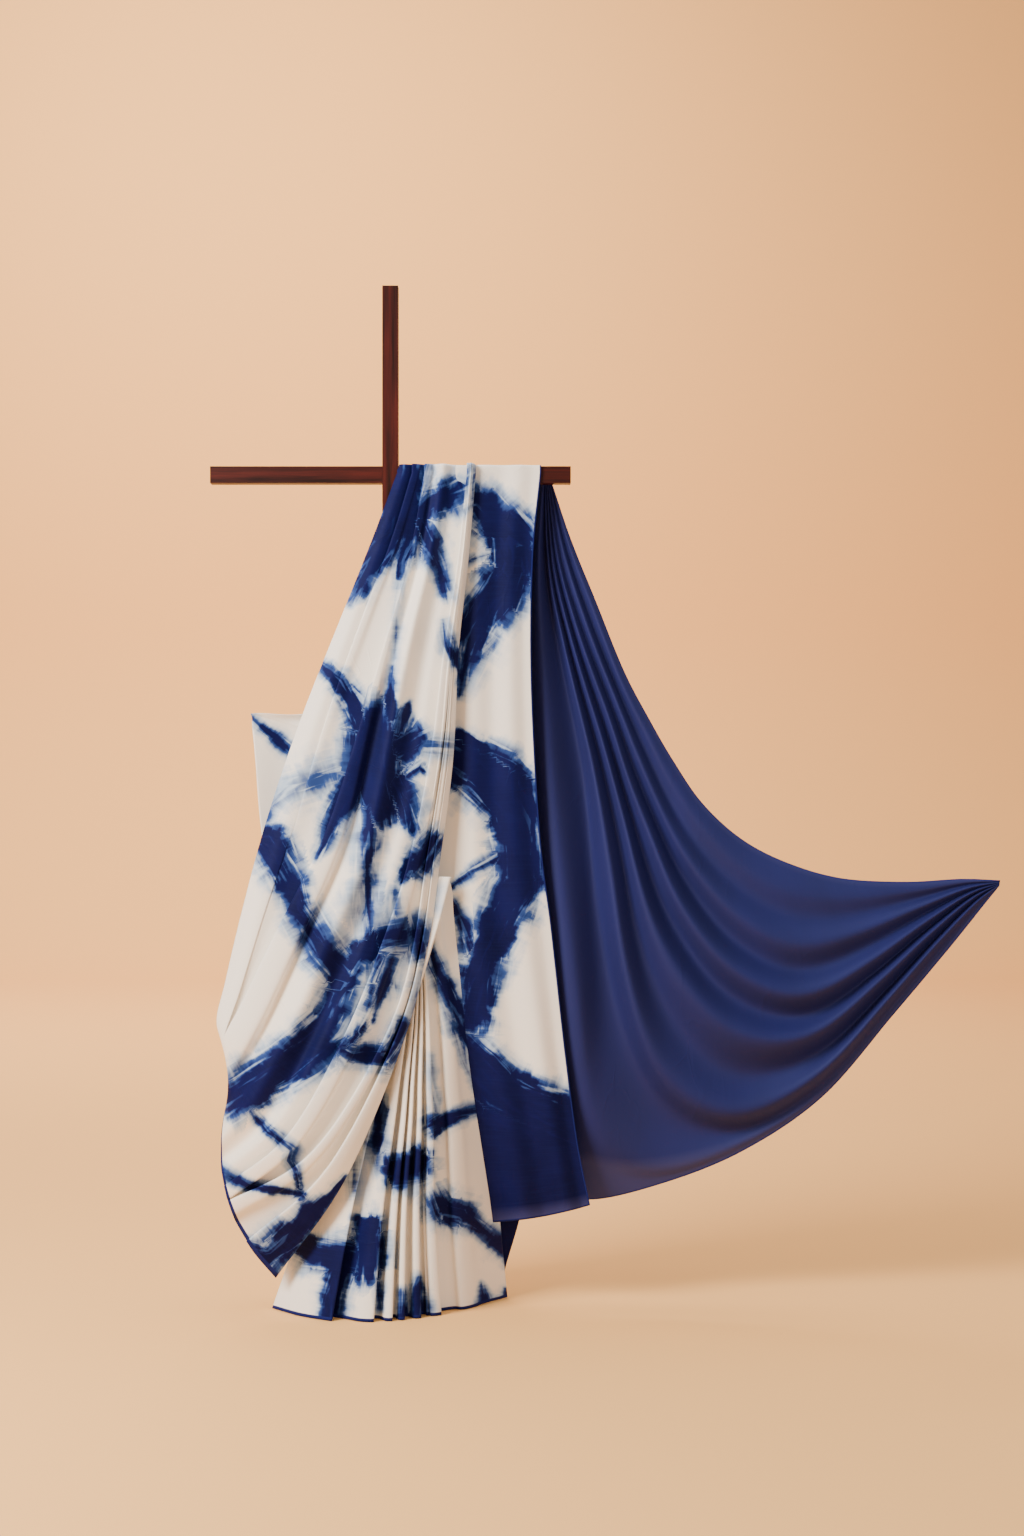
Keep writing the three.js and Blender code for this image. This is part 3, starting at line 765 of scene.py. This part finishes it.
def indigo_group(cloth):
    """Indigo that took unevenly: deep, plain and lighter patches."""
    group, w, start, end = new_group(
        "Uneven indigo", [("Cloth", "Vector")], [("Color", "Color")])
    patches = w.noise(start.outputs["Cloth"], 6.0, 4.0, 0.55, 0.4)
    threads = w.noise(w.stretched(start.outputs["Cloth"], (14, 260, 1)), 1.0, 3.0)
    deep = w.blend(w.between(patches, 0.3, 0.7), cloth.indigo_deep, cloth.indigo)
    lighter = [0.85 * a + 0.15 * b for a, b in zip(cloth.indigo, cloth.middle)]
    colour = w.blend(w.between(threads, 0.45, 0.75, 0.0, 0.2), deep, lighter)
    w.join(colour, end.inputs["Color"])
    return group


def bleed_group():
    """How much dye took, from its depth inside a stroke, with feathered edges."""
    group, w, start, end = new_group(
        "Dye bleed",
        [("Depth", "Float"), ("Run", "Vector"), ("Cloth", "Vector"), ("Feather", "Float")],
        [("Amount", "Float")])
    run, cloth, feather = (start.outputs[name] for name in ("Run", "Cloth", "Feather"))
    stir = 0.0
    for vector, detail, distortion, strength in (
            (w.stretched(run, (40, 13, 1)), 2.5, 0.3, 2.4),
            (w.stretched(run, (9, 55, 1)), 2.5, 0.4, 1.6),
            (w.stretched(cloth, (21, 18, 1)), 3.0, 0.5, 4.2),
            (w.stretched(run, (150, 16, 1)), 1.5, 0.6, 1.1)):
        shade = w.noise(vector, 1.0, detail, 0.5, distortion)
        moved = w.math("MULTIPLY", w.math("SUBTRACT", shade, 0.5), strength)
        stir = w.math("ADD", stir, moved)
    wet = w.between(w.parts(run)["Z"], 0.001, 0.028, 0.3, 1.0)
    depth = w.math("DIVIDE", start.outputs["Depth"], w.math("MULTIPLY", feather, wet))
    spread = w.between(w.noise(cloth, 8.0, 2.0), 0.4, 0.6, 1.6, 3.6)
    taken = w.math("DIVIDE", w.math("ADD", w.math("ADD", depth, stir), 0.3), spread)
    taken = w.math("MULTIPLY", w.math("ADD", taken, 1.1), 0.5)
    strand = w.noise(w.stretched(run, (11, 70, 1)), 1.0, 3.0, 0.5, 0.6)
    near_edge = w.between(depth, 0.5, 7.0, 0.46, 0.05)
    gaps = w.math("MULTIPLY", w.between(strand, 0.5, 0.68), near_edge)
    thinned = w.math("SUBTRACT", 1.0, gaps)
    taken = w.math("MULTIPLY", w.math("MINIMUM", taken, 1.0), thinned)
    halo = w.between(w.math("ADD", depth, w.math("MULTIPLY", stir, 1.3)), -4.2, 0.2, 0.0, 0.24)
    w.join(w.math("MAXIMUM", taken, halo), end.inputs["Amount"])
    return group


def cloth_shader(w, principled, silk, uv, finish):
    """Joins the silk group to a Principled shader: relief, gloss and sheen."""
    surface = w.node("ShaderNodeGroup", node_tree=silk)
    w.join(uv, surface.inputs["Cloth"])
    surface.inputs["Crumple"].default_value = finish.crumple
    w.bump(surface.outputs["Height"], 0.6, 0.006, principled.inputs["Normal"])
    w.join(surface.outputs["Roughness"], principled.inputs["Roughness"])
    for socket, value in (
            ("Specular IOR Level", finish.gloss), ("Specular Tint", (*finish.gloss_tint, 1)),
            ("Sheen Weight", finish.sheen), ("Sheen Tint", (*finish.sheen_tint, 1)),
            ("Sheen Roughness", 0.35)):
        principled.inputs[socket].default_value = value


def new_material(name):
    """A material with one Principled shader, and the wiring of its nodes."""
    material = bpy.data.materials.new(name)
    material.use_nodes = True
    material.node_tree.nodes.clear()
    w = Wiring(material.node_tree)
    output = w.node("ShaderNodeOutputMaterial")
    principled = w.node("ShaderNodeBsdfPrincipled")
    w.join(principled.outputs[0], output.inputs["Surface"])
    return material, w, principled


def border_colours(w, cloth, colour, dyed):
    """The cloth's colour with the painted light shining through its sheer bands, where it is
    dyed, and its dark border lines.
    """
    depths = w.parts(w.attribute("edges"))
    # Painted light shining through the single cloth of the sheer bands.
    band = w.between(depths["Y"], -0.004, 0.022, 0.0, 0.85)
    band = w.math("MULTIPLY", band, dyed)
    colour = w.blend(band, colour, cloth.painted_light_through)
    line = w.between(depths["X"], -0.0004, 0.0006)
    return w.blend(line, colour, cloth.selvedge)


def dyed_silk(cloth, silk, indigo, bleed):
    """White silk with indigo strokes that bleed at their edges."""
    _, w, principled = new_material("Dyed silk")
    uv = w.node("ShaderNodeUVMap", uv_map="Cloth").outputs["UV"]
    depths = w.parts(w.attribute("dye"))
    amounts = []
    for axis, run_name, feather in (("X", "run", 0.011), ("Y", "pale_run", 0.018)):
        edge = w.node("ShaderNodeGroup", node_tree=bleed)
        w.join(depths[axis], edge.inputs["Depth"])
        w.join(w.attribute(run_name), edge.inputs["Run"])
        w.join(uv, edge.inputs["Cloth"])
        edge.inputs["Feather"].default_value = feather
        amounts.append(edge.outputs["Amount"])
    thin = w.math("MULTIPLY", amounts[1], 0.61)
    amount = w.math("MAXIMUM", amounts[0], thin)
    tone = w.node("ShaderNodeValToRGB")
    w.join(amount, tone.inputs["Fac"])
    ramp = tone.color_ramp
    ramp.elements[0].position = 0.04
    ramp.elements[0].color = (*cloth.ground, 1)
    ramp.elements[1].position = 0.76
    ramp.elements[1].color = (*cloth.indigo, 1)
    for at, colour in ((0.32, cloth.pale), (0.56, cloth.middle)):
        ramp.elements.new(at).color = (*colour, 1)
    deep = w.node("ShaderNodeGroup", node_tree=indigo)
    w.join(uv, deep.inputs["Cloth"])
    colour = w.blend(w.between(amount, 0.7, 0.95), tone.outputs["Color"], deep.outputs["Color"])
    colour = border_colours(w, cloth, colour, amount)
    w.join(colour, principled.inputs["Base Color"])
    cloth_shader(w, principled, silk, uv, DYED_FINISH)


def plain_silk(cloth, silk, indigo):
    """Plain indigo silk, thinner and sheer along its hems, with the light through them painted.
    """
    _, w, principled = new_material("Indigo silk")
    uv = w.node("ShaderNodeUVMap", uv_map="Cloth").outputs["UV"]
    deep = w.node("ShaderNodeGroup", node_tree=indigo)
    w.join(uv, deep.inputs["Cloth"])
    colour = w.blend(0.55, deep.outputs["Color"], cloth.plain)
    colour = border_colours(w, cloth, colour, 1.0)
    w.join(colour, principled.inputs["Base Color"])
    cloth_shader(w, principled, silk, uv, PLAIN_FINISH)


def stained_wood(stand):
    """Dark red-brown wood with grain along each piece."""
    material, w, principled = new_material("Stained wood")
    where = w.node("ShaderNodeTexCoord").outputs["Object"]
    across = w.noise(w.stretched(where, (3, 60, 60)), 1.0, 5.0, 0.6, 0.3)
    upright = w.noise(w.stretched(where, (60, 60, 3)), 1.0, 5.0, 0.6, 0.3)
    beyond_post = float(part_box("post")[1][0] + 0.3 * MM)
    sideways = w.math("GREATER_THAN", w.math("ABSOLUTE", w.parts(where)["X"]), beyond_post)
    grain = w.math("ADD", w.math("MULTIPLY", across, sideways),
                   w.math("MULTIPLY", upright, w.math("SUBTRACT", 1.0, sideways)))
    colour = w.blend(w.between(grain, 0.38, 0.62), stand.wood_dark, stand.wood)
    w.join(colour, principled.inputs["Base Color"])
    w.bump(grain, 0.25, 0.001, principled.inputs["Normal"])
    w.join(w.between(grain, 0.3, 0.7, 0.35, 0.5), principled.inputs["Roughness"])
    principled.inputs["Specular IOR Level"].default_value = 0.25
    return material


def silk_material(name):
    """A silk material, made with the other one when the first is asked for."""
    if name not in bpy.data.materials:
        cloth = bpy.context.scene.saree_cloth
        silk, indigo = silk_group(), indigo_group(cloth)
        dyed_silk(cloth, silk, indigo, bleed_group())
        plain_silk(cloth, silk, indigo)
    return bpy.data.materials[name]


class SAREE_OT_stand(Operator):
    """Finish the stand's post, arms and base in stained wood"""

    bl_idname = "saree.stand"
    bl_label = "Wooden stand"

    def execute(self, context):
        wood = stained_wood(context.scene.saree_stand)
        for name in ("base", "post", "arm_left", "arm_right"):
            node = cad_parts[name]
            node.data.materials.clear()
            node.data.materials.append(wood)
        return {"FINISHED"}


class SAREE_OT_swag(Operator):
    """Hang the plain end, swagged out to its far corner"""

    bl_idname = "saree.swag"
    bl_label = "Plain end"

    def execute(self, context):
        points = sheet_points(SWAG_LEVELS, SWAG_FOLDS, rows=230, columns=200)
        make_sheet("plain_end", points, Pattern(), SWAG_BORDERS,
                   "Indigo silk")
        return {"FINISHED"}


class SAREE_OT_fall(Operator):
    """Hang the width that falls straight from the bar"""

    bl_idname = "saree.fall"
    bl_label = "Straight fall"

    def execute(self, context):
        points = sheet_points(FALL_LEVELS, FALL_FOLDS, rows=270, columns=120)
        points = np.concatenate([over_bar(points[0]), points])
        make_sheet("straight_fall", points, Pattern(FALL_DYE, FALL_WASH), FALL_BORDERS)
        return {"FINISHED"}


class SAREE_OT_sash(Operator):
    """Drape the gathered end that sweeps down to the left hip"""

    bl_idname = "saree.sash"
    bl_label = "Gathered sash"

    def execute(self, context):
        points = sheet_points(SASH_LEVELS, SASH_FOLDS, rows=220, columns=200)
        points = np.concatenate([over_bar(points[0]), points])
        make_sheet("gathered_sash", points, Pattern(SASH_DYE, SASH_WASH, SASH_KEPT),
                   SASH_BORDERS)
        return {"FINISHED"}


class SAREE_OT_pleats(Operator):
    """Fan out the waist pleats down to the floor"""

    bl_idname = "saree.pleats"
    bl_label = "Waist pleats"

    def execute(self, context):
        folds = knife_folds(KNIVES, PLEAT_FAN, PLEAT_RISE, PLEAT_STEP)
        points = sheet_points(PLEAT_LEVELS, folds, rows=170, columns=270, on_floor=True)
        make_sheet("waist_pleats", points, Pattern(PLEAT_DYE, PLEAT_WASH), PLEAT_BORDERS)
        points = sheet_points(TUCK_LEVELS, TUCK_FOLDS, rows=120, columns=40)
        make_sheet("first_pleat", points, Pattern(TUCK_DYE, TUCK_WASH), [])
        return {"FINISHED"}


class SAREE_OT_back(Operator):
    """Hang the layer behind the stand"""

    bl_idname = "saree.back"
    bl_label = "Back layer"

    def execute(self, context):
        points = sheet_points(BACK_LEVELS, BACK_FOLDS, rows=200, columns=160)
        make_sheet("back_layer", points, Pattern(BACK_DYE), PLEAT_BORDERS)
        return {"FINISHED"}


class SAREE_OT_stage(Operator):
    """Set the floor, the lights and the camera"""

    bl_idname = "saree.stage"
    bl_label = "Stage"

    def execute(self, context):
        self.floor(context)
        self.light(context)
        self.camera(context)
        return {"FINISHED"}

    def floor(self, context):
        """A pale floor that curves up into a pale wall far behind."""
        front, bend, radius, half_width, length = -7.0, 7.5, 2.0, 9.0, 24.0
        bm = bmesh.new()
        bmesh.ops.create_grid(bm, x_segments=2, y_segments=120, size=1)
        mesh = bpy.data.meshes.new("studio_floor")
        for vertex in bm.verts:
            run = (vertex.co.y + 1) / 2 * length
            past_bend = run - (bend - front)
            if past_bend < 0:
                y, z = front + run, 0.0
            else:
                turn = min(past_bend / radius, np.pi / 2)
                y = bend + radius * np.sin(turn)
                z = radius - radius * np.cos(turn) + max(past_bend - radius * np.pi / 2, 0)
            vertex.co = (vertex.co.x * half_width, y, z)
        bm.to_mesh(mesh)
        bm.free()
        mesh.polygons.foreach_set("use_smooth", [True] * len(mesh.polygons))
        floor = add_object("studio_floor", mesh)
        material, _, principled = new_material("Studio floor")
        principled.inputs["Base Color"].default_value = (*context.scene.saree_stand.floor, 1)
        principled.inputs["Roughness"].default_value = 0.85
        mesh.materials.append(material)

    def light(self, context):
        """A soft key from the upper left, a cool fill, and lamps above and on the wall."""
        middle_of_cloth = Vector((0.35, 0.0, 1.0))
        lamps = [
            ("Key", (-2.6, -2.3, 2.9), 1.7, 325, (1.0, 0.97, 0.93), middle_of_cloth),
            ("Fill", (3.2, -4.0, 0.7), 2.4, 58, (0.86, 0.93, 1.0), middle_of_cloth),
            ("Top", (0.6, 0.4, 4.2), 2.4, 70, (1.0, 0.97, 0.93), middle_of_cloth),
            ("Backdrop", (-1.8, 4.6, 5.8), 4.0, 660, (1.0, 0.96, 0.9),
             Vector((-1.5, 8.6, 1.2))),
        ]
        for name, where, size, power, colour, aim in lamps:
            lamp = bpy.data.lights.new(name, "AREA")
            lamp.shape = "SQUARE"
            lamp.size = size
            lamp.energy = power
            lamp.color = colour
            item = add_object(name, lamp)
            item.location = where
            item.rotation_euler = (aim - Vector(where)).to_track_quat("-Z", "Y").to_euler()
        world = bpy.data.worlds.new("Studio")
        world.use_nodes = True
        sky = world.node_tree.nodes["Background"]
        sky.inputs["Color"].default_value = (1.0, 0.97, 0.94, 1)
        sky.inputs["Strength"].default_value = 0.43
        context.scene.world = world

    def camera(self, context):
        """A level camera straight in front, at the photograph's height and field of view."""
        camera = bpy.data.cameras.new("Camera")
        picture_height, focal_pixels = 1536, 2381
        camera.sensor_width = 36
        camera.lens = camera.sensor_width * focal_pixels / picture_height
        item = add_object("Camera", camera)
        item.location = [VIEWER["x"] * MM, -VIEWER["distance"] * MM, VIEWER["z"] * MM]
        item.rotation_euler = (np.pi / 2, 0, 0)
        context.scene.camera = item


class SAREE_PT_panel(Panel):
    """Lists the pieces of the saree and its settings"""

    bl_idname = "SAREE_PT_panel"
    bl_label = "Draped saree"
    bl_space_type = "VIEW_3D"
    bl_region_type = "UI"
    bl_category = "Saree"

    def draw(self, context):
        layout = self.layout
        for name in STEPS:
            layout.operator(f"saree.{name}")
        for settings in (context.scene.saree_cloth, context.scene.saree_stand):
            for label in type(settings).__annotations__:
                layout.prop(settings, label)


STEPS = ("stage", "stand", "swag", "fall", "sash", "pleats", "back")
CLASSES = (
    ClothSettings, StandSettings, SAREE_OT_stage, SAREE_OT_stand, SAREE_OT_swag,
    SAREE_OT_fall, SAREE_OT_sash, SAREE_OT_pleats, SAREE_OT_back, SAREE_PT_panel,
)


def register():
    for item in CLASSES:
        bpy.utils.register_class(item)
    bpy.types.Scene.saree_cloth = PointerProperty(type=ClothSettings)
    bpy.types.Scene.saree_stand = PointerProperty(type=StandSettings)


def unregister():
    del bpy.types.Scene.saree_cloth
    del bpy.types.Scene.saree_stand
    for item in reversed(CLASSES):
        bpy.utils.unregister_class(item)


def main():
    """Builds every piece in order."""
    register()
    for name in STEPS:
        getattr(bpy.ops.saree, name)()


if __name__ == "__main__":
    main()
